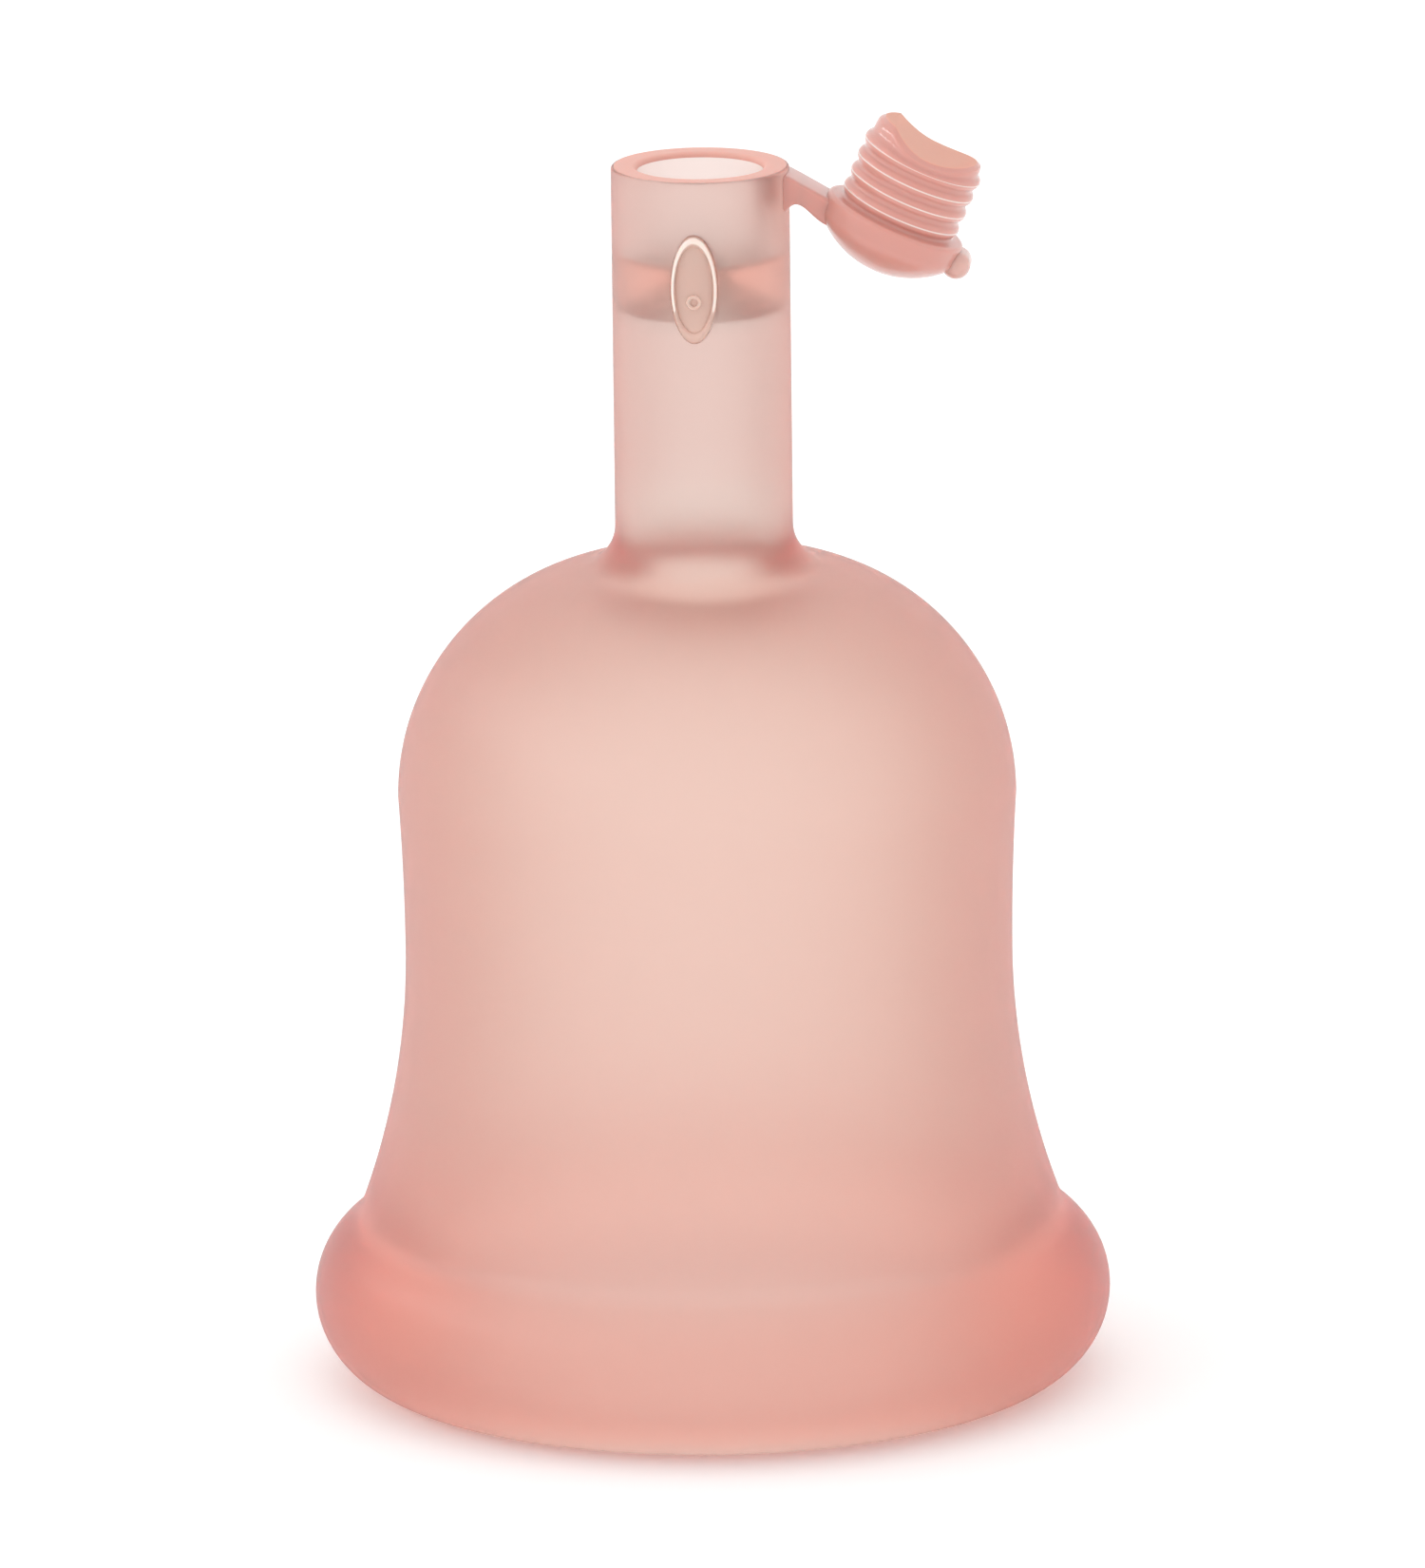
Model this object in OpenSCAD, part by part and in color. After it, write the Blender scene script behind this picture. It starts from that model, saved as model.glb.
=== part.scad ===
// Silicone cupping cup: a bell with a rolled rim, a hollow stem with a press pad and
// an inner valve, and a ribbed stopper that hangs from the stem on a short strap.
// The mouth rests on z = 0, the stem points up, and the strap leaves it along +X.
// The stopper is drawn closed in the stem and then swung open about its two folds.

/* [Bell] */
// height of the cup from the rim to the top of the stem
cup_h = 69.7; // [66:0.1:84]
// outer diameter of the rolled rim
rim_d = 45; // [42:0.1:54]
// outer diameter at the waist, the narrowest place of the bell
waist_d = 34.26; // [32:0.1:36]
// height of the waist
waist_z = 24.71; // [22:0.1:28]
// outer diameter where the bell turns into the dome
crown_d = 34.84; // [34.5:0.1:37]
// height where the bell turns into the dome
crown_z = 33.65; // [32:0.1:38]
// radius of the dome's shoulder
shoulder_r = 13.49; // [12:0.1:15]
// radius of the flare between the waist and the rim
flare_r = 42.69; // [38:0.1:52]
// thickness of the bell wall
wall = 2.5; // [1.8:0.1:3]
// radius of the rolled rim's round side
bead_r = 5; // [4.6:0.1:5.4]
// how far the rolled rim is flattened where it rests
bead_flat = 0.1; // [0.05:0.01:0.3]
// rounding of the mouth's inner edge
mouth_round = 0.5; // [0.2:0.1:0.5]

/* [Stem] */
// outer diameter of the stem
stem_d = 10; // [9:0.1:12]
// diameter of the bore through the stem
bore_d = 7.1; // [6.4:0.1:7.8]
// fillet between the stem and the dome
neck_r = 2.4; // [1:0.1:3]
// bevel around the mouth of the bore
mouth_bevel = 0.3; // [0.1:0.05:0.4]

/* [Valve] */
// depth of the moat around the valve's crown, below the top of the stem
valve_depth = 5.5; // [5.3:0.1:7]
// rise of the crown above the moat
crown_rise = 0.7; // [0.3:0.1:0.9]
// rise of the valve's top where it meets the bore
edge_rise = 0.5; // [0.2:0.1:0.6]
// radius of the moat
moat_r = 2.2; // [1.8:0.1:2.6]
// thickness of the valve at its centre
valve_t = 1; // [0.8:0.1:1.6]
// drop of the arched underside from its centre to the bore
arch_drop = 2.4; // [2:0.1:4.5]
// length of the slit
slit_l = 2.4; // [1.5:0.1:3]
// width of the slit
slit_w = 0.2; // [0.1:0.05:0.3]

/* [Press pad] */
// width of the oval pad
pad_w = 2.6; // [2:0.1:3.2]
// height of the oval pad
pad_h = 6.1; // [4:0.1:8]
// depth of the pad's centre below the top of the stem
pad_depth = 6.05; // [5.5:0.05:12]
// how far the pad stands proud of the stem
pad_proud = 0.3; // [0.2:0.05:0.4]
// how deep the pad reaches into the stem wall at rest
pad_sink = 0.4; // [0.3:0.05:0.45]
// how far the pad can be pressed in
pad_travel = 0.35; // [0.1:0.05:0.4]
// gap around and behind the pad
pad_gap = 0.06; // [0.04:0.01:0.1]
// outer diameter of the ring on the pad
pip_d = 0.9; // [0.7:0.05:1.1]
// thickness of the ring on the pad
pip_t = 0.26; // [0.2:0.01:0.3]
// how far below the pad's centre the ring sits
pip_drop = 0.7; // [0:0.1:1.5]

/* [Stopper] */
// diameter of the cap
cap_d = 8.2; // [7.8:0.1:9.2]
// height of the cap's straight side
cap_side = 1.35; // [1.2:0.05:2.5]
// height of the cap's dome above its side
cap_dome = 1.9; // [0.8:0.05:2.2]
// length of the plug below the cap
plug_l = 5.1; // [4.6:0.1:5.2]
// gap between the plug's ribs and the bore
rib_gap = 0.07; // [0.03:0.01:0.1]
// how far the ribs stand out of the plug
rib_h = 0.28; // [0.2:0.01:0.35]
// radius of each rib's round profile
rib_r = 0.45; // [0.4:0.01:0.48]
// distance from one rib to the next
rib_pitch = 1; // [0.97:0.01:1.05]
// distance from the cap to the first rib
rib_first = 0.6; // [0.5:0.05:0.7]
// number of ribs
rib_n = 4; // [4:1:4]
// how much narrower the plug's tip is than the ribs, on the radius
tip_in = 0.28; // [0.1:0.01:0.3]
// how far the tip tapers in towards its end
tip_taper = 0.3; // [0.3:0.05:0.6]
// depth of the scoop across the plug's end
scoop = 0.7; // [0.6:0.05:0.8]
// gap between the closed cap and the stem
seat_gap = 0.05; // [0.03:0.01:0.1]
// radius of the pull tab
tab_r = 0.8; // [0.6:0.05:1]
// width of the pull tab
tab_w = 2.8; // [2.2:0.1:4]

/* [Strap] */
// width of the strap
strap_w = 3; // [2.2:0.1:4]
// thickness of the strap
strap_t = 1.4; // [0.9:0.05:1.5]
// how steeply the open strap slopes down
strap_slope = 29.5; // [26:0.5:34]
// how far the strap's top starts below the top of the stem
strap_drop = 0.3; // [0.05:0.05:0.4]
// distance along the strap from the stem to the root fold, or more where a wide cap needs it
root_run = 0.5; // [0.45:0.01:1]
// least room between the closed cap's edge and the tip fold
tip_room = 1; // [0.9:0.05:1.1]
// distance along the strap from the root fold to the tip fold
link_l = 0.88; // [0.8:0.01:1.2]
// gap at each fold
fold_gap = 0.1; // [0.06:0.01:0.15]
// turn of the root fold from open to closed
root_turn = 136; // [130:1:140]
// turn of the tip fold from open to closed
tip_turn = 68; // [64:1:72]
// height of the gusset under the strap's root
gusset_h = 0.95; // [0.5:0.05:1.5]

/* [Hidden] */
$fn = 96;

blush = [0.93, 0.68, 0.63];
rose = [0.90, 0.60, 0.56];
pale = [0.94, 0.77, 0.71];
// how far a cutting shape runs past what it cuts
past = 1;

// the flare is an arc about (flare_x, waist_z), the wall above it one about (upper_x, waist_z)
waist_r = waist_d / 2;
crown_r = crown_d / 2;
flare_x = waist_r + flare_r;
upper_rise = crown_z - waist_z;
upper_r = (pow(upper_rise, 2) + pow(crown_r - waist_r, 2)) / (2 * (crown_r - waist_r));
upper_x = waist_r + upper_r;

// the rolled rim meets the flare where their two arcs cross
bead_x = rim_d / 2 - bead_r;
bead_z = bead_r - bead_flat;
arcs_dx = flare_x - bead_x;
arcs_dz = waist_z - bead_z;
arcs_d = sqrt(pow(arcs_dx, 2) + pow(arcs_dz, 2));
arcs_a = (pow(bead_r, 2) - pow(flare_r, 2) + pow(arcs_d, 2)) / (2 * arcs_d);
arcs_h = sqrt(pow(bead_r, 2) - pow(arcs_a, 2));
join_z = bead_z + (arcs_a * arcs_dz - arcs_h * arcs_dx) / arcs_d;
join_top_z = bead_z + (arcs_a * arcs_dz + arcs_h * arcs_dx) / arcs_d;
rim_top_z = max(join_z, join_top_z);
mouth_r = flare_x - sqrt(pow(flare_r + wall, 2) - pow(waist_z - rim_top_z, 2));

// the dome's shoulder and the fillet up to the stem
stem_r = stem_d / 2;
bore_r = bore_d / 2;
shoulder_x = crown_r - shoulder_r;
neck_x = stem_r + neck_r;
neck_z = crown_z + sqrt(pow(shoulder_r + neck_r, 2) - pow(neck_x - shoulder_x, 2));
neck_foot_x = shoulder_x + (neck_x - shoulder_x) * shoulder_r / (shoulder_r + neck_r);
dome_in_r = shoulder_r - wall;

// valve levels
moat_z = cup_h - valve_depth;
crown_top_z = moat_z + crown_rise;
arch_z = crown_top_z - valve_t;
// how sharply the arch bends at its centre
arch_k = 1;
valve_steps = 12;

// pad levels
pad_z = cup_h - pad_depth;
pad_face_r = stem_r + pad_proud;
pad_back_r = stem_r - pad_sink;
pocket_r = pad_back_r - pad_travel - pad_gap;
pip_ring_r = pip_d / 2 - pip_t / 2;
// how deep the ring's centre line lies under the pad's face
pip_sunk = 0.02;

// plug sizes, with the stopper closed in the stem
seat_z = cup_h + seat_gap;
cap_r = cap_d / 2;
rib_out_r = bore_r - rib_gap;
core_r = rib_out_r - rib_h;
tip_r = rib_out_r - tip_in;
tip_z = seat_z - rib_first - rib_pitch * (rib_n - 0.45);
end_z = seat_z - plug_l;
scoop_r = (pow(tip_r, 2) + pow(scoop, 2)) / (2 * scoop);
cap_dome_r = (pow(cap_r, 2) + pow(cap_dome, 2)) / (2 * cap_dome);
cap_dome_z = seat_z + cap_side + cap_dome - cap_dome_r;
tab_z = seat_z + cap_side - 0.3;

// strap folds: the root fold, and the tip fold open and closed
strap_top_z = cup_h - strap_drop;
closed_dir = root_turn - strap_slope;
root_x = max(stem_r + root_run * cos(strap_slope), cap_r + tip_room - link_l * cos(closed_dir));
root_z = strap_top_z - (root_x - stem_r) * tan(strap_slope);
tip_x = root_x + link_l * cos(strap_slope);
tip_fold_z = root_z - link_l * sin(strap_slope);
shut_x = root_x + link_l * cos(closed_dir);
shut_z = root_z + link_l * sin(closed_dir);
all_turn = root_turn + tip_turn;
// the strap's thickness measured straight down
strap_v = strap_t / cos(strap_slope);

// turns a drawing of (radius, height) into a solid about the upright axis
module turned() rotate_extrude() children();

// a ring between two radii about one centre, in the plane of the profile
module arc_band(x, z, r_in, r_out) {
    translate([x, z]) difference() {
        circle(r_out);
        circle(r_in);
    }
}

// a box in the plane of the profile
module span(x0, x1, z0, z1) translate([x0, z0]) square([x1 - x0, z1 - z0]);

// a flat outline in X and Z pulled out to the strap's width, centred on the XZ plane
module across_strap(points) {
    translate([0, strap_w / 2, 0]) rotate([90, 0, 0])
        linear_extrude(height = strap_w) polygon(points);
}

// swings what is drawn closed about the two folds to where it hangs open
module swung_open() {
    translate([tip_x, 0, tip_fold_z]) rotate([0, all_turn, 0])
        translate([-shut_x, 0, -shut_z]) children();
}

// an upright oval column that runs out of the stem's front
module oval_column(w, h) {
    steps = 48;
    translate([0, 0, pad_z]) rotate([90, 0, 0])
        linear_extrude(height = stem_r + past)
            polygon([for (i = [0:steps - 1])
                [w / 2 * cos(360 * i / steps), h / 2 * sin(360 * i / steps)]]);
}

module rim_bead() {
    color(rose) turned() difference() {
        intersection() {
            translate([bead_x, bead_z]) circle(bead_r);
            span(mouth_r, rim_d, 0, rim_top_z);
        }
        difference() {
            span(mouth_r, mouth_r + mouth_round, 0, mouth_round);
            translate([mouth_r + mouth_round, mouth_round]) circle(mouth_round);
        }
    }
}

module bell_skirt() {
    color(blush) turned() intersection() {
        arc_band(flare_x, waist_z, flare_r, flare_r + wall);
        span(0, rim_d / 2, rim_top_z, waist_z);
    }
}

module bell_wall() {
    color(blush) turned() intersection() {
        arc_band(upper_x, waist_z, upper_r, upper_r + wall);
        span(0, rim_d / 2, waist_z, crown_z);
    }
}

module bell_dome() {
    color(blush) turned() {
        intersection() {
            arc_band(shoulder_x, crown_z, dome_in_r, shoulder_r);
            span(neck_foot_x, crown_r, crown_z, neck_z);
        }
        difference() {
            span(bore_r, neck_foot_x, crown_z, neck_z);
            translate([shoulder_x, crown_z]) circle(dome_in_r);
            span(0, shoulder_x, crown_z, crown_z + dome_in_r);
            translate([neck_x, neck_z]) circle(neck_r);
        }
    }
}

module stem_tube() {
    color(pale) difference() {
        turned() difference() {
            span(bore_r, stem_r, neck_z, cup_h);
            polygon([[bore_r, cup_h - mouth_bevel], [bore_r + mouth_bevel, cup_h], [bore_r, cup_h]]);
        }
        difference() {
            oval_column(pad_w + 2 * pad_gap, pad_h + 2 * pad_gap);
            cylinder(r = pocket_r, h = cup_h);
        }
    }
}

function valve_top(r) = r < moat_r
    ? moat_z + crown_rise * (1 + cos(180 * r / moat_r)) / 2
    : moat_z + edge_rise * pow((r - moat_r) / (bore_r - moat_r), 2);
function arch(r) = sqrt(r * r + arch_k * arch_k) - arch_k;
function valve_under(r) = arch_z - arch_drop * arch(r) / arch(bore_r);

module stem_valve() {
    color(rose) difference() {
        turned() polygon(concat(
            [for (i = [0:valve_steps]) [bore_r * i / valve_steps, valve_top(bore_r * i / valve_steps)]],
            [for (i = [valve_steps:-1:0])
                [bore_r * i / valve_steps, valve_under(bore_r * i / valve_steps)]]));
        translate([-slit_l / 2, -slit_w / 2, 0]) cube([slit_l, slit_w, cup_h]);
    }
}

module strap_lug() {
    end_x = root_x - fold_gap / 2;
    end_top_z = root_z + (root_x - end_x) * tan(strap_slope);
    color(blush) difference() {
        across_strap([[0, strap_top_z], [stem_r, strap_top_z], [end_x, end_top_z],
            [end_x, end_top_z - strap_v], [stem_r, strap_top_z - strap_v - gusset_h],
            [0, strap_top_z - strap_v - gusset_h]]);
        cylinder(r = stem_r, h = cup_h + past);
    }
}

module press_pad() {
    color(pale) intersection() {
        oval_column(pad_w, pad_h);
        difference() {
            cylinder(r = pad_face_r, h = cup_h);
            cylinder(r = pad_back_r, h = cup_h);
        }
    }
}

module pad_pip() {
    color(rose) difference() {
        translate([0, pip_sunk - pad_face_r, pad_z - pip_drop]) rotate([90, 0, 0])
            rotate_extrude() translate([pip_ring_r, 0]) circle(pip_t / 2);
        cylinder(r = pad_face_r, h = cup_h);
    }
}

module strap_link() {
    x0 = root_x + fold_gap / 2;
    x1 = tip_x - fold_gap / 2;
    z0 = root_z - (x0 - root_x) * tan(strap_slope);
    z1 = tip_fold_z + (tip_x - x1) * tan(strap_slope);
    color(blush) across_strap([[x0, z0], [x1, z1], [x1, z1 - strap_v], [x0, z0 - strap_v]]);
}

// the cap's solid, closed on the stem
module cap_body() {
    translate([0, 0, seat_z]) cylinder(r = cap_r, h = cap_side);
    intersection() {
        translate([0, 0, cap_dome_z]) sphere(cap_dome_r);
        translate([0, 0, seat_z + cap_side]) cylinder(r = cap_r, h = cap_dome + past);
    }
}

module strap_tip() {
    x0 = tip_x + fold_gap / 2;
    x1 = tip_x + cap_r;
    z0 = tip_fold_z - (x0 - tip_x) * tan(strap_slope);
    z1 = tip_fold_z - (x1 - tip_x) * tan(strap_slope);
    color(blush) difference() {
        across_strap([[x0, z0], [x1, z1], [x1, z1 - strap_v], [x0, z0 - strap_v]]);
        swung_open() translate([0, 0, seat_z - past]) cylinder(r = cap_r, h = cap_side + 2 * past);
    }
}

module stopper_cap() color(blush) swung_open() cap_body();

module pull_tab() {
    side = tab_w / 2 - tab_r;
    steps = 10;
    color(blush) swung_open() difference() {
        translate([-cap_r, 0, tab_z]) rotate([90, 0, 0]) turned() polygon(concat(
            [for (i = [0:steps]) [tab_r * sin(90 * i / steps), side + tab_r * cos(90 * i / steps)]],
            [for (i = [steps:-1:0]) [tab_r * sin(90 * i / steps), -side - tab_r * cos(90 * i / steps)]]));
        cap_body();
    }
}

module plug_core() {
    color(rose) swung_open() translate([0, 0, tip_z]) cylinder(r = core_r, h = seat_z - tip_z);
}

module seal_rib(i) {
    color(rose) swung_open() turned() difference() {
        translate([rib_out_r - rib_r, seat_z - rib_first - i * rib_pitch]) circle(rib_r);
        span(0, core_r, 0, seat_z);
    }
}
module seal_rib_1() seal_rib(0);
module seal_rib_2() seal_rib(1);
module seal_rib_3() seal_rib(2);
module seal_rib_4() seal_rib(3);

module plug_tip() {
    color(pale) swung_open() difference() {
        turned() polygon([[0, end_z], [tip_r - tip_taper, end_z], [tip_r, end_z + tip_taper],
            [tip_r, tip_z], [0, tip_z]]);
        translate([0, 0, end_z + scoop - scoop_r]) rotate([90, 0, 0])
            cylinder(r = scoop_r, h = cap_d, center = true);
    }
}

rim_bead();
bell_skirt();
bell_wall();
bell_dome();
stem_tube();
stem_valve();
strap_lug();
press_pad();
pad_pip();
strap_link();
strap_tip();
stopper_cap();
pull_tab();
plug_core();
seal_rib_1();
seal_rib_2();
seal_rib_3();
seal_rib_4();
plug_tip();
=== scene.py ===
"""Looks of the silicone cupping cup: a translucent blush-pink moulding on a pale floor."""

import math

import bmesh
import bpy
import numpy as np
from mathutils import Matrix, Vector


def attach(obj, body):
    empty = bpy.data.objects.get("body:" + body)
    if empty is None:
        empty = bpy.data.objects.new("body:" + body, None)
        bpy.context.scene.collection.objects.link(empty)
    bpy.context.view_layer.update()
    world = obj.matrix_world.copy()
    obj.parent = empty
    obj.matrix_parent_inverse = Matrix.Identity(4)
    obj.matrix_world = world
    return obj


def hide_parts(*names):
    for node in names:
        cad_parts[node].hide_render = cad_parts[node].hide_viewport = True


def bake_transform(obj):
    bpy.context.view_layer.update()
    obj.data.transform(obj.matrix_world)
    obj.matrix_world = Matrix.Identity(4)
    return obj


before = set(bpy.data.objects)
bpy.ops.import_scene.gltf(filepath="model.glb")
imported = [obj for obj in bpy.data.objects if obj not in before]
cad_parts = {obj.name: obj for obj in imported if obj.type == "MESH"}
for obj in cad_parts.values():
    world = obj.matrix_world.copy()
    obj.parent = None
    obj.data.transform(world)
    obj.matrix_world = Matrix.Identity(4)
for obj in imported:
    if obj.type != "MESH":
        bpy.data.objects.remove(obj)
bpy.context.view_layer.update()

MM = 0.001
SEG = 192  # steps round a turned shape


# ---------------------------------------------------------------- sizes, in mm, as in the CAD part
CUP_H = 69.7
RIM_R = 22.5
BEAD_R, BEAD_FLAT = 5.0, 0.1
WAIST_R, WAIST_Z = 17.13, 24.71
CROWN_R, CROWN_Z = 17.42, 33.65
SHOULDER_R, FLARE_R, WALL = 13.49, 42.69, 2.5
STEM_R, BORE_R, NECK_R, BEVEL = 5.0, 3.55, 2.4, 0.3
VALVE_DEPTH, VALVE_T, ARCH_DROP = 5.5, 1.0, 2.4
CROWN_RISE, EDGE_RISE, MOAT_R = 0.7, 0.5, 2.2
SLIT_L, SLIT_W = 2.4, 0.2
PAD_W, PAD_H, PAD_DEPTH = 2.6, 6.1, 6.05
PAD_PROUD, PAD_SINK, PAD_TRAVEL, PAD_GAP = 0.3, 0.4, 0.35, 0.06
PIP_DROP = 0.7
CAP_R, CAP_SIDE, CAP_DOME = 4.1, 1.35, 1.9
PLUG_L, SEAT_GAP, RIB_GAP, TIP_IN = 5.1, 0.05, 0.07, 0.28
RIB_R, RIB_FIRST, RIB_PITCH, RIB_N = 0.45, 0.6, 1.0, 4
TAB_R, TAB_W = 0.8, 2.8
STRAP_W, SLOPE, DROP, RUN, LINK = 3.0, math.radians(29.5), 0.3, 0.5, 0.88
ROOT_TURN, TIP_TURN = math.radians(136), math.radians(68)

# sizes that only the looks have
RIM_EASE, FOOT_EASE = 3.0, 2.4     # fillets of the rim's crease and of the bore's foot
MOUTH_Z, MOUTH_IN = 2.6, 0.55      # the round inside the mouth: its height and how far it opens
LIP_ROUND = 0.16                   # the stem's outer edge
PIP_RING_R, PIP_WIRE_R = 0.32, 0.12
GROOVE = 0.2                       # how deep the plug's ribs stand out
SCOOP, SCOOP_REACH = 0.9, 1.55     # the scoop across the plug's end, and how far up the plug it is felt
STRAP_END = 7.6                    # how far from the axis the strap runs into the cap

# places that follow from the sizes
SEAT_Z = CUP_H + SEAT_GAP
RIB_OUT = BORE_R - RIB_GAP
TIP_R = RIB_OUT - TIP_IN
END_Z = SEAT_Z - PLUG_L
PAD_Z = CUP_H - PAD_DEPTH
PAD_BACK = STEM_R - PAD_SINK
POCKET = PAD_BACK - PAD_TRAVEL - PAD_GAP
ROOT = (STEM_R + RUN * math.cos(SLOPE), CUP_H - DROP - RUN * math.sin(SLOPE))
TIP = (ROOT[0] + LINK * math.cos(SLOPE), ROOT[1] - LINK * math.sin(SLOPE))
SHUT = (ROOT[0] + LINK * math.cos(ROOT_TURN - SLOPE), ROOT[1] + LINK * math.sin(ROOT_TURN - SLOPE))


# ---------------------------------------------------------------- helpers
def arc(cx, cz, r, a0, a1, n):
    """Points on an arc from angle a0 to a1 in degrees, in the plane of radius and height."""
    return [(cx + r * math.cos(math.radians(a0 + (a1 - a0) * i / n)),
             cz + r * math.sin(math.radians(a0 + (a1 - a0) * i / n))) for i in range(n + 1)]


def angle(cx, cz, x, z):
    """The direction from one point to another, in degrees."""
    return math.degrees(math.atan2(z - cz, x - cx))


def circles_cross(ax, az, ar, bx, bz, br):
    """The upper one of the two places where two circles cross."""
    dx, dz = bx - ax, bz - az
    d = math.hypot(dx, dz)
    a = (ar * ar - br * br + d * d) / (2 * d)
    h = math.sqrt(ar * ar - a * a)
    both = [(ax + (a * dx - s * h * dz) / d, az + (a * dz + s * h * dx) / d) for s in (1, -1)]
    return max(both, key=lambda p: p[1])


def rounded(points, radii, n=5):
    """The polyline with each corner whose radius isn't 0 turned into a small arc."""
    out = []
    for i, (p, r) in enumerate(zip(points, radii)):
        if r <= 0 or i in (0, len(points) - 1):
            out.append(p)
            continue
        p, a, b = Vector(p), Vector(points[i - 1]), Vector(points[i + 1])
        u, v = (a - p).normalized(), (b - p).normalized()
        half = math.acos(max(-1, min(1, u.dot(v)))) / 2
        t = min(r / math.tan(half), (a - p).length * 0.49, (b - p).length * 0.49)
        r = t * math.tan(half)
        c = p + (u + v).normalized() * (r / math.sin(half))
        s, e = p + u * t - c, p + v * t - c
        turn = s.angle_signed(e)
        for k in range(n + 1):
            w = -turn * k / n
            q = Vector((s.x * math.cos(w) - s.y * math.sin(w), s.x * math.sin(w) + s.y * math.cos(w)))
            out.append(tuple(c + q))
    return out


def new_mesh(name, verts, faces, smooth=True):
    """A mesh from points in mm, with its faces turned outwards."""
    me = bpy.data.meshes.new(name)
    me.from_pydata([tuple(c * MM for c in v) for v in verts], [], faces)
    me.validate()
    ob = bpy.data.objects.new(name, me)
    bpy.context.scene.collection.objects.link(ob)
    bm = bmesh.new()
    bm.from_mesh(me)
    bmesh.ops.remove_doubles(bm, verts=bm.verts, dist=1e-7)
    bmesh.ops.recalc_face_normals(bm, faces=bm.faces)
    bm.to_mesh(me)
    bm.free()
    if smooth:
        me.shade_smooth()
    return ob


def bands(rings):
    """Four-cornered faces between rings of points that follow each other."""
    m = len(rings[0])
    return [[a[k], a[(k + 1) % m], b[(k + 1) % m], b[k]] for a, b in zip(rings, rings[1:]) for k in range(m)]


def fan(verts, faces, ring, centre):
    """Closes a ring of points with triangles round a new centre point."""
    c = len(verts)
    verts.append(centre)
    faces += [[c, ring[k], ring[(k + 1) % len(ring)]] for k in range(len(ring))]


def lathe(name, profile, segments=SEG):
    """Turns a profile of (radius, height). Its ends are either both on the axis or the same point."""
    verts, rings, faces = [], [], []
    for r, z in profile:
        if r < 1e-6:
            rings.append([len(verts)] * segments)
            verts.append((0, 0, z))
        else:
            rings.append(list(range(len(verts), len(verts) + segments)))
            turns = [2 * math.pi * k / segments for k in range(segments)]
            verts += [(r * math.cos(t), r * math.sin(t), z) for t in turns]
    for quad in bands(rings):
        quad = [q for i, q in enumerate(quad) if q not in quad[:i]]
        if len(quad) > 2:
            faces.append(quad)
    return new_mesh(name, verts, faces)


def swung_open(ob):
    """Moves what is drawn closed in the stem to where it hangs open."""
    to_tip = Matrix.Translation((TIP[0] * MM, 0, TIP[1] * MM))
    from_shut = Matrix.Translation((-SHUT[0] * MM, 0, -SHUT[1] * MM))
    ob.data.transform(to_tip @ Matrix.Rotation(ROOT_TURN + TIP_TURN, 4, "Y") @ from_shut)


# ---------------------------------------------------------------- the silicone
def fine_grain(nt, shader, strength, depth):
    """A barely visible grain on the surface, depth in metres."""
    co = nt.nodes.new("ShaderNodeTexCoord")
    no = nt.nodes.new("ShaderNodeTexNoise")
    no.inputs["Scale"].default_value = 900.0
    no.inputs["Detail"].default_value = 3
    bu = nt.nodes.new("ShaderNodeBump")
    bu.inputs["Strength"].default_value = strength
    bu.inputs["Distance"].default_value = depth
    nt.links.new(co.outputs["Object"], no.inputs["Vector"])
    nt.links.new(no.outputs["Fac"], bu.inputs["Height"])
    nt.links.new(bu.outputs["Normal"], shader.inputs["Normal"])


def silicone(name, surface, through, tint, density, rough):
    """Clear, frosted silicone, whose colour deepens with its thickness."""
    m = bpy.data.materials.new(name)
    m.use_nodes = True
    nt = m.node_tree
    nt.nodes.clear()
    out = nt.nodes.new("ShaderNodeOutputMaterial")
    p = nt.nodes.new("ShaderNodeBsdfPrincipled")
    p.inputs["Base Color"].default_value = (*surface, 1)
    p.inputs["Roughness"].default_value = rough
    p.inputs["IOR"].default_value = 1.41
    p.inputs["Transmission Weight"].default_value = through
    v = nt.nodes.new("ShaderNodeVolumeAbsorption")
    v.inputs["Color"].default_value = (*tint, 1)
    v.inputs["Density"].default_value = density
    nt.links.new(p.outputs[0], out.inputs["Surface"])
    nt.links.new(v.outputs[0], out.inputs["Volume"])
    fine_grain(nt, p, 0.35, 0.00002)
    return m


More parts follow.
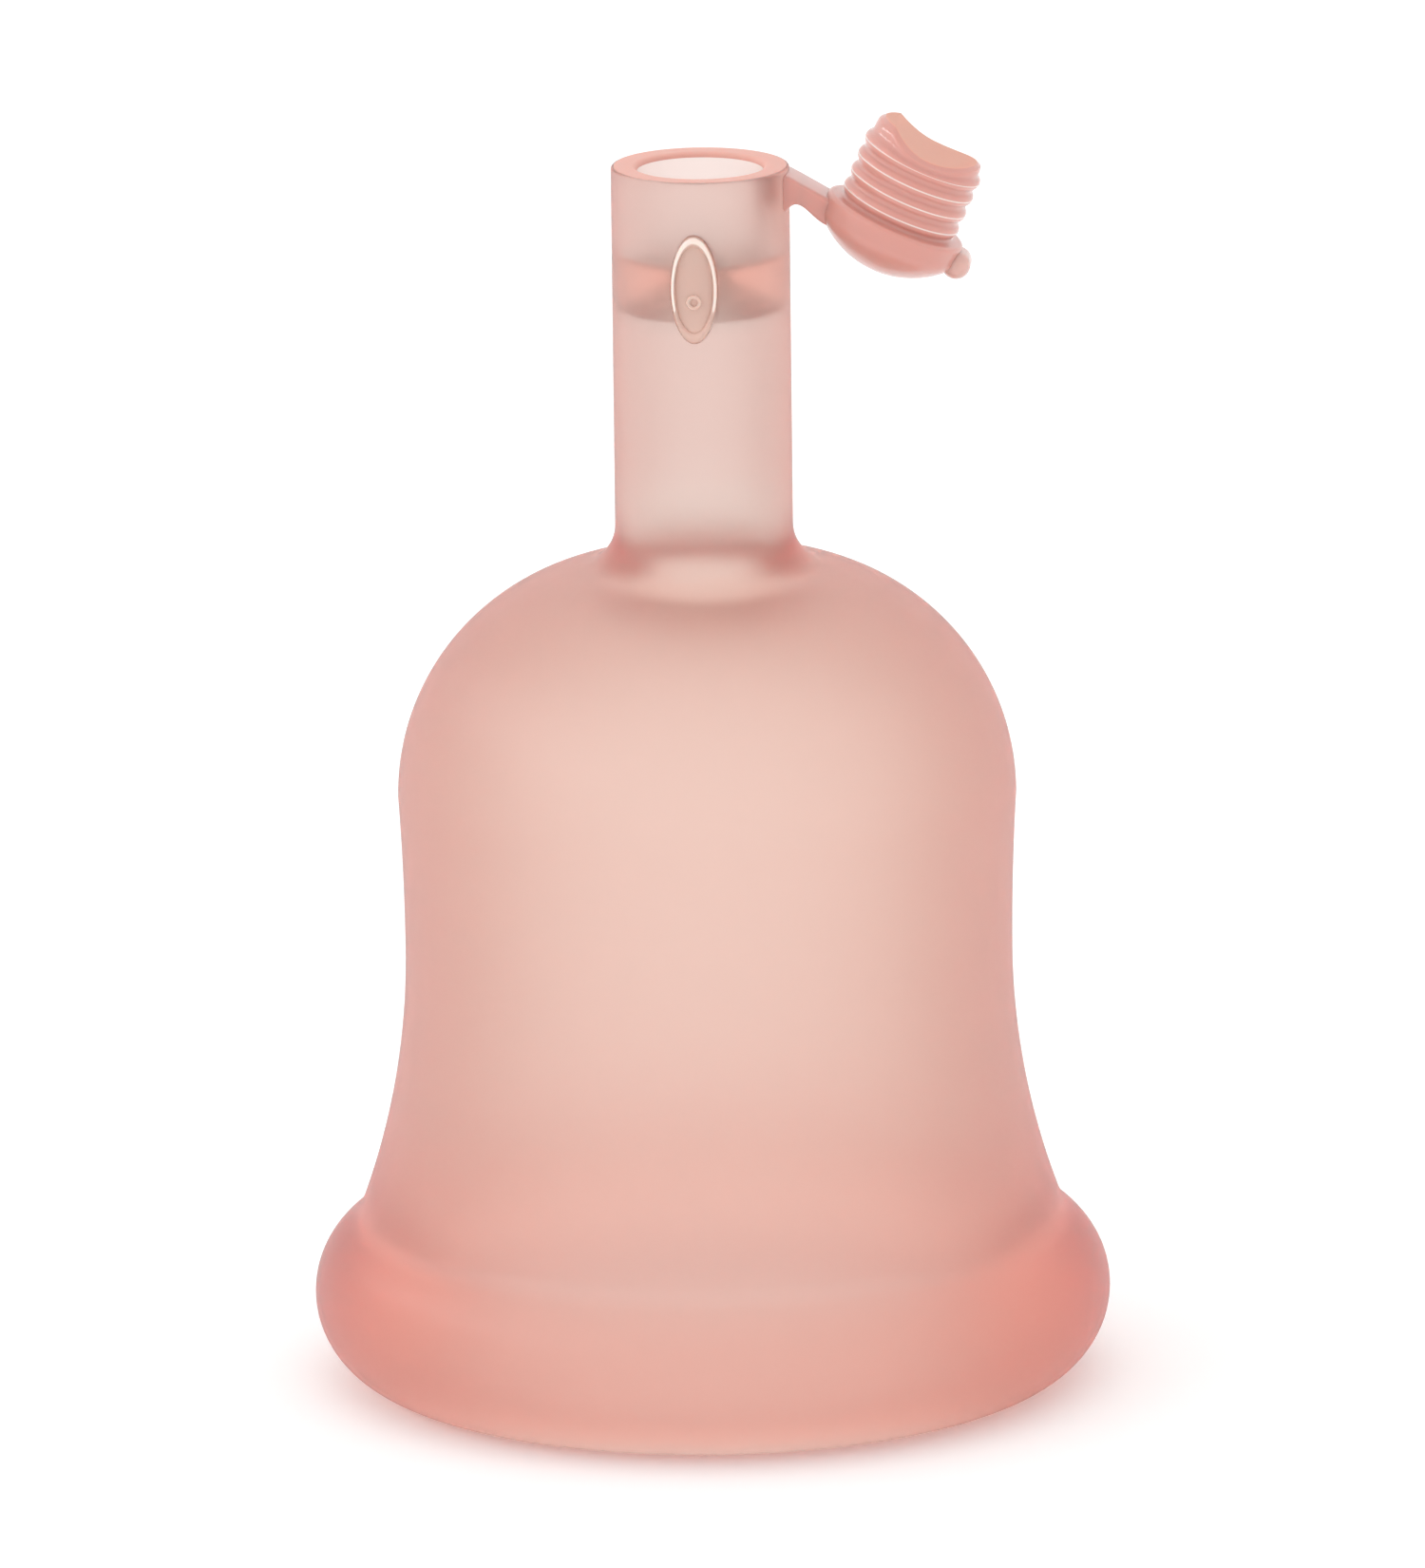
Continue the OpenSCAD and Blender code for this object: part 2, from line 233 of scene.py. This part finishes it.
def by_height(m, colors, smooth, rough):
    """Lets the surface colour, and between two heights the roughness, follow the height on the cup, in mm."""
    nt = m.node_tree
    p = next(n for n in nt.nodes if n.type == "BSDF_PRINCIPLED")
    co = next(n for n in nt.nodes if n.type == "TEX_COORD")
    xyz = nt.nodes.new("ShaderNodeSeparateXYZ")
    nt.links.new(co.outputs["Object"], xyz.inputs[0])
    part = nt.nodes.new("ShaderNodeMapRange")
    part.inputs["From Max"].default_value = CUP_H * MM
    nt.links.new(xyz.outputs["Z"], part.inputs["Value"])
    ramp = nt.nodes.new("ShaderNodeValToRGB")
    while len(ramp.color_ramp.elements) < len(colors):
        ramp.color_ramp.elements.new(0.5)
    for e, (z, c) in zip(ramp.color_ramp.elements, colors):
        e.position = z / CUP_H
        e.color = (*c, 1)
    nt.links.new(part.outputs["Result"], ramp.inputs["Fac"])
    nt.links.new(ramp.outputs["Color"], p.inputs["Base Color"])
    r = nt.nodes.new("ShaderNodeMapRange")
    r.inputs["From Min"].default_value = smooth[0] * MM
    r.inputs["From Max"].default_value = rough[0] * MM
    r.inputs["To Min"].default_value = smooth[1]
    r.inputs["To Max"].default_value = rough[1]
    nt.links.new(xyz.outputs["Z"], r.inputs["Value"])
    nt.links.new(r.outputs["Result"], p.inputs["Roughness"])


def dense_silicone(name, color, through=0.0, rough=0.34, coat=0.6, shine=0.5):
    """The thick, solid parts, which let so little light through that they read as an even deep pink."""
    m = bpy.data.materials.new(name)
    m.use_nodes = True
    nt = m.node_tree
    p = nt.nodes["Principled BSDF"]
    p.inputs["Base Color"].default_value = (*color, 1)
    p.inputs["Roughness"].default_value = rough
    p.inputs["IOR"].default_value = 1.41
    p.inputs["Specular IOR Level"].default_value = shine
    p.inputs["Transmission Weight"].default_value = through
    p.inputs["Subsurface Weight"].default_value = 0.5
    p.inputs["Subsurface Radius"].default_value = (1.0, 0.45, 0.35)
    p.inputs["Subsurface Scale"].default_value = 0.0008
    p.inputs["Coat Weight"].default_value = coat
    p.inputs["Coat Roughness"].default_value = 0.1
    fine_grain(nt, p, 0.25, 0.00001)
    return m


SKIN = silicone("silicone_blush", (0.935, 0.945, 0.925), 0.93, (0.998, 0.73, 0.655), 300.0, 0.43)
# painted light: the skin is lighter from the rim down to the floor, to offset the shade the floor throws on
# the rim
RIM_PAINTED_LIGHT_TONE, BELL_TONE, STEM_TONE = (0.96, 0.955, 0.94), (0.93, 0.942, 0.92), (0.905, 0.865, 0.845)
# painted shade: the stem is darker across the height of the valve, standing in for the dimmer light through
# the thick valve inside
VALVE_PAINTED_SHADE_TONE = (0.78, 0.79, 0.77)
by_height(SKIN, [(0, (0.965, 0.96, 0.945)), (9, RIM_PAINTED_LIGHT_TONE), (16, BELL_TONE), (44, BELL_TONE),
                 # painted highlight: the pale band at 47.4 mm is the light ellipse under the stem's foot
                 (47.4, (0.94, 1.0, 0.985)), (50, (0.93, 0.95, 0.93)), (53, STEM_TONE), (60.8, STEM_TONE),
                 (62.2, VALVE_PAINTED_SHADE_TONE), (64.6, VALVE_PAINTED_SHADE_TONE), (65.8, STEM_TONE), (69.7, STEM_TONE)],
          (8.0, 0.40), (14.0, 0.43))
PALE = silicone("silicone_pale", (0.95, 0.73, 0.64), 0.6, (0.99, 0.80, 0.75), 200.0, 0.4)
ROSE = dense_silicone("silicone_rose", (0.75, 0.355, 0.30), through=0.2)
# painted highlight: a pale line along each rib's crest
CREST_HIGHLIGHT = dense_silicone("silicone_crest_highlight", (0.93, 0.76, 0.71), through=0.2)
LIP = dense_silicone("silicone_lip", (0.76, 0.42, 0.36), rough=0.6, coat=0.0, shine=0.15)
RING = dense_silicone("silicone_ring", (0.68, 0.45, 0.38))
# painted highlight on the upper part of the pad's rolled edge
EDGE_HIGHLIGHT = dense_silicone("silicone_edge_highlight", (0.88, 0.72, 0.65))
PEACH = dense_silicone("silicone_peach", (0.84, 0.43, 0.33), through=0.2, rough=0.6, coat=0.0, shine=0.15)
TAB = dense_silicone("silicone_tab", (0.78, 0.48, 0.42), through=0.2)


def finish_piece(ob, body, nodes, mat, ends=None):
    """Gives a piece its material, ties it to its body unless it has ends, when its place is only baked into
    its mesh, and hides the CAD nodes it stands for.
    """
    ob.data.materials.clear()
    ob.data.materials.append(mat)
    if ends:
        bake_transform(ob)
    else:
        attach(ob, body)
    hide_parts(*nodes)


# ---------------------------------------------------------------- the cup, from rim to valve, in one skin
BEAD_X, BEAD_Z = RIM_R - BEAD_R, BEAD_R - BEAD_FLAT
FLARE_X = WAIST_R + FLARE_R
UPPER_R = ((CROWN_Z - WAIST_Z) ** 2 + (CROWN_R - WAIST_R) ** 2) / (2 * (CROWN_R - WAIST_R))
UPPER_X = WAIST_R + UPPER_R
JOIN = circles_cross(BEAD_X, BEAD_Z, BEAD_R, FLARE_X, WAIST_Z, FLARE_R)
MOUTH_R = FLARE_X - math.sqrt((FLARE_R + WALL) ** 2 - (WAIST_Z - JOIN[1]) ** 2)
SHOULDER_X = CROWN_R - SHOULDER_R
NECK_X = STEM_R + NECK_R
NECK_Z = CROWN_Z + math.sqrt((SHOULDER_R + NECK_R) ** 2 - (NECK_X - SHOULDER_X) ** 2)
DOME_IN = SHOULDER_R - WALL


def upper_turn(wall):
    """How far the wall between waist and crown turns, in degrees."""
    return math.degrees(math.asin((CROWN_Z - WAIST_Z) / (UPPER_R + wall)))


def outer_side():
    """The cup's outside, from the floor up to the bore's bevel."""
    ease = circles_cross(BEAD_X, BEAD_Z, BEAD_R + RIM_EASE, FLARE_X, WAIST_Z, FLARE_R - RIM_EASE)
    on_bead = angle(BEAD_X, BEAD_Z, *ease)
    on_flare = angle(FLARE_X, WAIST_Z, *ease) % 360
    on_neck = angle(SHOULDER_X, CROWN_Z, NECK_X, NECK_Z)
    out = arc(BEAD_X, BEAD_Z, BEAD_R, -math.degrees(math.asin(BEAD_Z / BEAD_R)), on_bead, 40)
    out += arc(*ease, RIM_EASE, on_bead + 180, on_flare, 10)[1:-1]
    out += arc(FLARE_X, WAIST_Z, FLARE_R, on_flare, 180, 24)
    out += arc(UPPER_X, WAIST_Z, UPPER_R, 180, 180 - upper_turn(0), 12)[1:]
    out += arc(SHOULDER_X, CROWN_Z, SHOULDER_R, 0, on_neck, 44)[1:]
    out += arc(NECK_X, NECK_Z, NECK_R, on_neck + 180, 180, 12)[1:]
    out += [(STEM_R, NECK_Z + (CUP_H - LIP_ROUND - NECK_Z) * k / 24) for k in range(1, 25)]
    out += arc(STEM_R - LIP_ROUND, CUP_H - LIP_ROUND, LIP_ROUND, 0, 90, 5)[1:]
    return out + arc(BORE_R + BEVEL, CUP_H - BEVEL, BEVEL, 90, 180, 8)


def valve_top(r):
    """Height of the valve's upper side: a low crown inside a moat."""
    moat = CUP_H - VALVE_DEPTH
    if r < MOAT_R:
        return moat + CROWN_RISE * (1 + math.cos(math.pi * r / MOAT_R)) / 2
    return moat + EDGE_RISE * ((r - MOAT_R) / (BORE_R - MOAT_R)) ** 2


def valve_under(r):
    """Height of the valve's under side, an arch."""
    bend = lambda q: math.sqrt(q * q + 1) - 1
    return CUP_H - VALVE_DEPTH + CROWN_RISE - VALVE_T - ARCH_DROP * bend(r) / bend(BORE_R)


def valve_side():
    """Down the bore to the valve, over its upper side to the axis and back along its under side."""
    inwards = [BORE_R * k / 20 for k in range(20, -1, -1)]
    top = CUP_H - BEVEL
    out = [(BORE_R, top - (top - valve_top(BORE_R)) * k / 6) for k in range(1, 6)]
    out += [(r, valve_top(r)) for r in inwards]
    return out + [(r, valve_under(r)) for r in reversed(inwards)]


def inner_side():
    """The inside below the valve: the bore, its foot, the dome, the wall and the mouth."""
    foot_x = BORE_R + FOOT_EASE
    foot_z = CROWN_Z + math.sqrt((DOME_IN + FOOT_EASE) ** 2 - (foot_x - SHOULDER_X) ** 2)
    on_foot = angle(SHOULDER_X, CROWN_Z, foot_x, foot_z)
    low = valve_under(BORE_R)
    out = [(BORE_R, low + (foot_z - low) * k / 14) for k in range(1, 15)]
    out += arc(foot_x, foot_z, FOOT_EASE, 180, 180 + on_foot, 12)[1:]
    out += arc(SHOULDER_X, CROWN_Z, DOME_IN, on_foot, 0, 36)[1:]
    out += arc(UPPER_X, WAIST_Z, UPPER_R + WALL, 180 - upper_turn(WALL), 180, 12)[1:]
    flare_turn = math.degrees(math.asin((WAIST_Z - JOIN[1]) / (FLARE_R + WALL)))
    out += arc(FLARE_X, WAIST_Z, FLARE_R + WALL, 180, 180 + flare_turn * 0.55, 20)[1:]
    # a soft curve from the flare to the mouth, then a tall round down to the floor
    p0, p3 = Vector(out[-1]), Vector((MOUTH_R, MOUTH_Z))
    p1 = p0 + (p0 - Vector(out[-2])).normalized() * 5.5
    p2 = p3 + Vector((0, 4.5))
    for t in (k / 24 for k in range(1, 25)):
        s = 1 - t
        out.append(tuple(p0 * s ** 3 + p1 * 3 * t * s ** 2 + p2 * 3 * t * t * s + p3 * t ** 3))
    for q in (math.radians(a) for a in range(9, 91, 9)):
        out.append((MOUTH_R + MOUTH_IN * (1 - math.cos(q)), MOUTH_Z - MOUTH_Z * math.sin(q)))
    return out


def pocket_cutter():
    """An oval column facing -Y, between two radii, that cuts the pad's pocket."""
    steps = 96
    w, h = PAD_W + 2 * PAD_GAP, PAD_H + 2 * PAD_GAP
    turns = [2 * math.pi * k / steps for k in range(steps)]
    ring = [(w / 2 * math.cos(t), h / 2 * math.sin(t)) for t in turns]
    front = STEM_R + 1
    rows = [(POCKET, 1 - k / 10) for k in range(9, -1, -1)] + [(front, k / 10) for k in range(10, 0, -1)]
    verts, grid = [], []
    for r, q in rows:
        grid.append(list(range(len(verts), len(verts) + steps)))
        verts += [(x * q, -math.sqrt(r * r - (x * q) ** 2), PAD_Z + z * q) for x, z in ring]
    faces = bands(grid)
    for g, r in ((grid[0], POCKET), (grid[-1], front)):
        fan(verts, faces, g, (0, -r, PAD_Z))
    return new_mesh("pocket_cutter", verts, faces)


def slit_cutter():
    """A thin box along X that cuts the valve's slit."""
    verts = [(x, y, z) for z in (CUP_H - 8, CUP_H - 4) for y in (-SLIT_W / 2, SLIT_W / 2)
             for x in (-SLIT_L / 2, SLIT_L / 2)]
    faces = [(0, 1, 3, 2), (4, 6, 7, 5), (0, 4, 5, 1), (2, 3, 7, 6), (0, 2, 6, 4), (1, 5, 7, 3)]
    return new_mesh("slit_cutter", verts, faces, smooth=False)


def cut_away(ob, cutters):
    """Cuts shapes out of a piece and removes them."""
    for cutter in cutters:
        cut = ob.modifiers.new(cutter.name, "BOOLEAN")
        cut.operation = "DIFFERENCE"
        cut.object = cutter
        cut.solver = "EXACT"
    bpy.context.view_layer.update()
    done = bpy.data.meshes.new_from_object(ob.evaluated_get(bpy.context.evaluated_depsgraph_get()))
    ob.modifiers.clear()
    ob.data = done
    for cutter in cutters:
        bpy.data.objects.remove(cutter)


def make_cup():
    profile = outer_side() + valve_side() + inner_side()
    ob = lathe("cup_shell", profile + profile[:1])
    cut_away(ob, [pocket_cutter(), slit_cutter()])
    ob.data.set_sharp_from_angle(angle=math.radians(35))
    nodes = ["rim_bead", "bell_skirt", "bell_wall", "bell_dome", "stem_tube", "stem_valve"]
    finish_piece(ob, "cup", nodes, SKIN)
    ob.data.materials.append(LIP)
    for f in ob.data.polygons:  # the lip round the mouth of the bore is dense
        r, z = math.hypot(f.center.x, f.center.y) / MM, f.center.z / MM
        if z > CUP_H - BEVEL and r < STEM_R - 0.14:
            f.material_index = 1


# ---------------------------------------------------------------- press pad and its ring
RIM_SHARE = 0.8  # the part of the pad's width that is dished, inside its rolled edge


def pad_front(q):
    """Radius of the pad's face at the share q of its width: a shallow dish inside a rolled edge."""
    if q > RIM_SHARE:
        return STEM_R + 0.06 + (PAD_PROUD - 0.06) * math.sqrt(max(0.0, 1 - ((q - 0.9) / 0.1) ** 2))
    return STEM_R + 0.06 + 0.1 * (1 - (q / RIM_SHARE) ** 2)


def make_pad():
    steps = 96
    verts, grid = [], []
    rows = [("back", k / 6) for k in range(1, 7)]
    rows += [("front", q) for q in (1.0, 0.995, 0.98, 0.96, 0.93, 0.9, 0.87, 0.84, 0.82, 0.805, RIM_SHARE,
                                    0.7, 0.55, 0.4, 0.25, 0.12)]
    for side, q in rows:
        grid.append(list(range(len(verts), len(verts) + steps)))
        r = PAD_BACK if side == "back" else pad_front(q)
        for t in (2 * math.pi * k / steps for k in range(steps)):
            x, z = PAD_W / 2 * q * math.cos(t), PAD_H / 2 * q * math.sin(t)
            verts.append((x, -math.sqrt(r * r - x * x), PAD_Z + z))
    faces = bands(grid)
    for g, r in ((grid[0], PAD_BACK), (grid[-1], pad_front(0))):
        fan(verts, faces, g, (0, -r, PAD_Z))
    ob = new_mesh("press_pad", verts, faces)
    ob.data.set_sharp_from_angle(angle=math.radians(50))
    finish_piece(ob, "pad", ["press_pad"], PALE)
    ob.data.materials.append(EDGE_HIGHLIGHT)
    for f in ob.data.polygons:  # the rolled edge, except at the oval's foot, is paler: a painted highlight where the light from above catches it
        x, z = f.center.x / MM, f.center.z / MM - PAD_Z
        q = math.hypot(x / (PAD_W / 2), z / (PAD_H / 2))
        outside = f.center.y < -(STEM_R - 0.1) * MM * math.cos(math.asin(min(1, abs(x) / STEM_R)))
        if 0.86 < q < 0.975 and z > -1.2 and outside:
            f.material_index = 1


def make_pip():
    wire = [(PIP_RING_R + x, z) for x, z in arc(0, 0, PIP_WIRE_R, 0, 360, 24)]
    ob = lathe("pad_pip", wire, 48)
    place = Matrix.Translation((0, -(pad_front(0.25) + 0.04) * MM, (PAD_Z - PIP_DROP) * MM))
    ob.data.transform(place @ Matrix.Rotation(math.radians(90), 4, "X"))
    finish_piece(ob, "pad", ["pad_pip"], RING)


# ---------------------------------------------------------------- the stopper, drawn closed in the stem
def cap_side():
    """The cap, from the top of its dome to its seat on the stem."""
    top = SEAT_Z + CAP_SIDE + CAP_DOME
    dome_r = (CAP_R ** 2 + CAP_DOME ** 2) / (2 * CAP_DOME)
    edge = math.asin((CAP_R - 0.45) / dome_r)
    out = arc(0, top - dome_r, dome_r, 90, 90 - math.degrees(edge), 22)
    out[0] = (0, top)
    p0, p2 = out[-1], (CAP_R, SEAT_Z + 1.0)
    p1 = (CAP_R, p0[1] - (CAP_R - p0[0]) * math.tan(edge))
    for t in (k / 12 for k in range(1, 13)):
        s = 1 - t
        out.append(tuple(s * s * a + 2 * t * s * b + t * t * c for a, b, c in zip(p0, p1, p2)))
    return out + arc(CAP_R - 0.3, SEAT_Z + 0.3, 0.3, 0, -90, 6)


def rib_z(i):
    return SEAT_Z - RIB_FIRST - RIB_PITCH * i


def plug_side():
    """The plug, from the cap to the middle of its end, before the scoop."""
    core = RIB_OUT - GROOVE
    out = [(core + 0.12, SEAT_Z), (core, SEAT_Z - 0.1)]
    half = math.sqrt(RIB_R ** 2 - (RIB_R - GROOVE) ** 2)
    turn = math.degrees(math.asin(half / RIB_R))
    for i in range(RIB_N):
        out += arc(RIB_OUT - RIB_R, rib_z(i), RIB_R, turn, -turn, 11)
    neck_z = rib_z(RIB_N - 1) - 0.55
    out += rounded([(TIP_R, neck_z), (TIP_R, neck_z - 0.3), (TIP_R - 0.05, END_Z + 0.28),
                    (TIP_R - 0.38, END_Z), (TIP_R - 0.6, END_Z)], [0, 0, 0.3, 0.2, 0])
    return out + [((TIP_R - 0.6) * k / 16, END_Z) for k in range(15, -1, -1)]


def scoop_out(ob):
    """Presses the scoop into the plug's end: a full round on the strap's side, a flatter one on the tab's."""
    for v in ob.data.vertices:
        x, z = v.co.x / MM, v.co.z / MM
        if z < END_Z + SCOOP_REACH:
            u = x / TIP_R + 0.12
            lift = SCOOP * (max(0.0, 1 - (u / 0.78) ** 2) if u > 0 else 1 - 0.7 * (u / 0.88) ** 2)
            share = min(1.0, max(0.0, (END_Z + SCOOP_REACH - z) / 1.35))
            v.co.z += lift * share * MM


def make_stopper():
    ob = lathe("stopper_plug", cap_side() + plug_side(), 160)
    closed = [(math.hypot(v.co.x, v.co.y) / MM, v.co.z / MM) for v in ob.data.vertices]
    scoop_out(ob)
    swung_open(ob)
    ribs = [f"seal_rib_{i + 1}" for i in range(RIB_N)]
    finish_piece(ob, "stopper", ["stopper_cap", "plug_core", *ribs, "plug_tip"], ROSE)
    ob.data.materials.append(PEACH)
    ob.data.materials.append(CREST_HIGHLIGHT)
    for f in ob.data.polygons:  # the scooped end is peach, and the thin crest of each rib is pale, a painted highlight all round
        corners = [closed[i] for i in f.vertices]
        r = max(c[0] for c in corners)
        z = sum(c[1] for c in corners) / len(corners)
        if r < TIP_R - 0.12 and all(c[1] < END_Z + 0.1 for c in corners):
            f.material_index = 1
        elif r > RIB_OUT - 0.02 and any(abs(z - rib_z(i)) < 0.055 for i in range(RIB_N)):
            f.material_index = 2


def make_tab():
    """A rounded bar along Y on the cap's edge."""
    half = TAB_W / 2 - TAB_R
    prof = arc(0, half, TAB_R, 90, 0, 10) + arc(0, -half, TAB_R, 0, -90, 10)
    prof[0], prof[-1] = (0, half + TAB_R), (0, -half - TAB_R)
    ob = lathe("pull_tab", prof, 48)
    ob.data.transform(Matrix.Rotation(math.radians(90), 4, "X"))
    ob.data.transform(Matrix.Translation((-CAP_R * MM, 0, (SEAT_Z + CAP_SIDE - 0.3) * MM)))
    swung_open(ob)
    finish_piece(ob, "stopper", ["pull_tab"], TAB)


# ---------------------------------------------------------------- the strap, in two halves that meet between its two folds
# a curve through a few points, in X and Z, of the strap's under side, from its gusset to the cap
UNDER = np.polyfit([4.95, 5.2, 5.5, 5.9, 6.4, 6.9, 7.5], [67.32, 67.62, 67.72, 67.55, 67.1, 66.68, 66.45], 5)
STRAP_START = STEM_R - 0.05


def strap_ring(u):
    """Points round the strap, u from 0 at the stem to 1 in the cap: a box with soft corners."""
    m = 32
    tx = STRAP_START + (STRAP_END - STRAP_START) * u
    tz = CUP_H - DROP - (tx - STEM_R) * math.tan(SLOPE)
    bx = tx - 0.1 * u
    bz = float(np.polyval(UNDER, bx))
    ring = []
    for a in (2 * math.pi * k / m for k in range(m)):
        c, s = math.cos(a), math.sin(a)
        y = STRAP_W / 2 * math.copysign(abs(c) ** 0.22, c)
        v = 0.5 - 0.5 * math.copysign(abs(s) ** 0.3, s)
        x = tx + (bx - tx) * v
        if u == 0:  # the root follows the stem's side
            x = math.sqrt(STEM_R ** 2 - y * y) - 0.05
        ring.append((x, y, tz + (bz - tz) * v))
    return ring


def make_strap(name, bodies, u0, u1, fold, nodes):
    """One half of the strap, open towards the other half."""
    n = 28
    verts, rings = [], []
    for i in range(n + 1):
        ring = strap_ring(u0 + (u1 - u0) * i / n)
        rings.append(list(range(len(verts), len(verts) + len(ring))))
        verts += ring
    faces = bands(rings)
    faces.append(rings[-1] if u0 else list(reversed(rings[0])))
    ob = new_mesh(name, verts, faces)
    ob.data.set_sharp_from_angle(angle=math.radians(50))
    at, reach = Vector((fold[0], 0, fold[1])), Vector((0.38, 0, 0))
    finish_piece(ob, bodies, nodes, ROSE, ends=(tuple((at - reach) * MM), tuple((at + reach) * MM)))


make_cup()
make_pad()
make_pip()
make_stopper()
make_tab()
MIDDLE = ((ROOT[0] + TIP[0]) / 2 - STRAP_START) / (STRAP_END - STRAP_START)
make_strap("strap_root", ("cup", "link"), 0, MIDDLE, ROOT, ["strap_lug", "strap_link"])
make_strap("strap_end", ("link", "stopper"), MIDDLE, 1, TIP, ["strap_tip"])


# ---------------------------------------------------------------- floor, light and camera
def make_floor():
    bpy.ops.mesh.primitive_plane_add(size=6)
    floor = bpy.context.object
    floor.name = "floor"
    m = bpy.data.materials.new("floor_white")
    m.use_nodes = True
    p = m.node_tree.nodes["Principled BSDF"]
    p.inputs["Base Color"].default_value = (0.95, 0.95, 0.95, 1)
    p.inputs["Roughness"].default_value = 0.9
    p.inputs["Emission Color"].default_value = (1, 1, 1, 1)
    p.inputs["Emission Strength"].default_value = 0.15
    floor.data.materials.append(m)


def placed(ob, x, y, z, at):
    """Puts an object at a place with its three axes along x, y and z."""
    rows = [(x[i], y[i], z[i], at[i]) for i in range(3)]
    ob.matrix_world = Matrix((*rows, (0, 0, 0, 1)))
    bpy.context.scene.collection.objects.link(ob)


def softbox(name, place, aim, along, size, power):
    """A rectangular light at place that faces aim, its long side running along a direction."""
    light = bpy.data.lights.new(name, "AREA")
    light.shape = "RECTANGLE"
    light.size, light.size_y = size
    light.energy = power
    z = (Vector(place) - Vector(aim)).normalized()
    x = (Vector(along) - z * Vector(along).dot(z)).normalized()
    placed(bpy.data.objects.new(name, light), x, z.cross(x), z, place)


def make_light():
    world = bpy.data.worlds.new("studio")
    bpy.context.scene.world = world
    world.use_nodes = True
    world.node_tree.nodes["Background"].inputs[0].default_value = (1, 1, 1, 1)
    world.node_tree.nodes["Background"].inputs[1].default_value = 1.05
    softbox("strip_left", (-0.5, -0.12, 0.32), (0.01, 0, 0.07), (0.35, -1, 0), (1.0, 0.03), 0.6)


def make_camera():
    """The camera's place, worked out from the outline of the object in the picture."""
    elevation, azimuth, roll = 0.2361, math.radians(4.7), 0.0116
    distance, lens, sensor = 1.2, 489.2073, 36
    back = Vector((math.sin(azimuth) * math.cos(elevation), -math.cos(azimuth) * math.cos(elevation),
                   math.sin(elevation)))
    right = Vector((math.cos(azimuth), math.sin(azimuth), 0))
    up = back.cross(right)
    aim = Vector((0, 0, 0.035)) + right * 0.000305 - up * 0.000888
    cam = bpy.data.cameras.new("camera")
    cam.sensor_width = sensor
    cam.lens = lens
    cam.clip_start, cam.clip_end = 0.1, 20
    camera = bpy.data.objects.new("camera", cam)
    x = right * math.cos(roll) - up * math.sin(roll)
    y = up * math.cos(roll) + right * math.sin(roll)
    placed(camera, x, y, back, aim + back * distance)
    bpy.context.scene.camera = camera


make_floor()
make_light()
make_camera()
scene = bpy.context.scene
scene.view_settings.view_transform = "Standard"
scene.view_settings.look = "None"
scene.cycles.max_bounces = 24
scene.cycles.transmission_bounces = 24
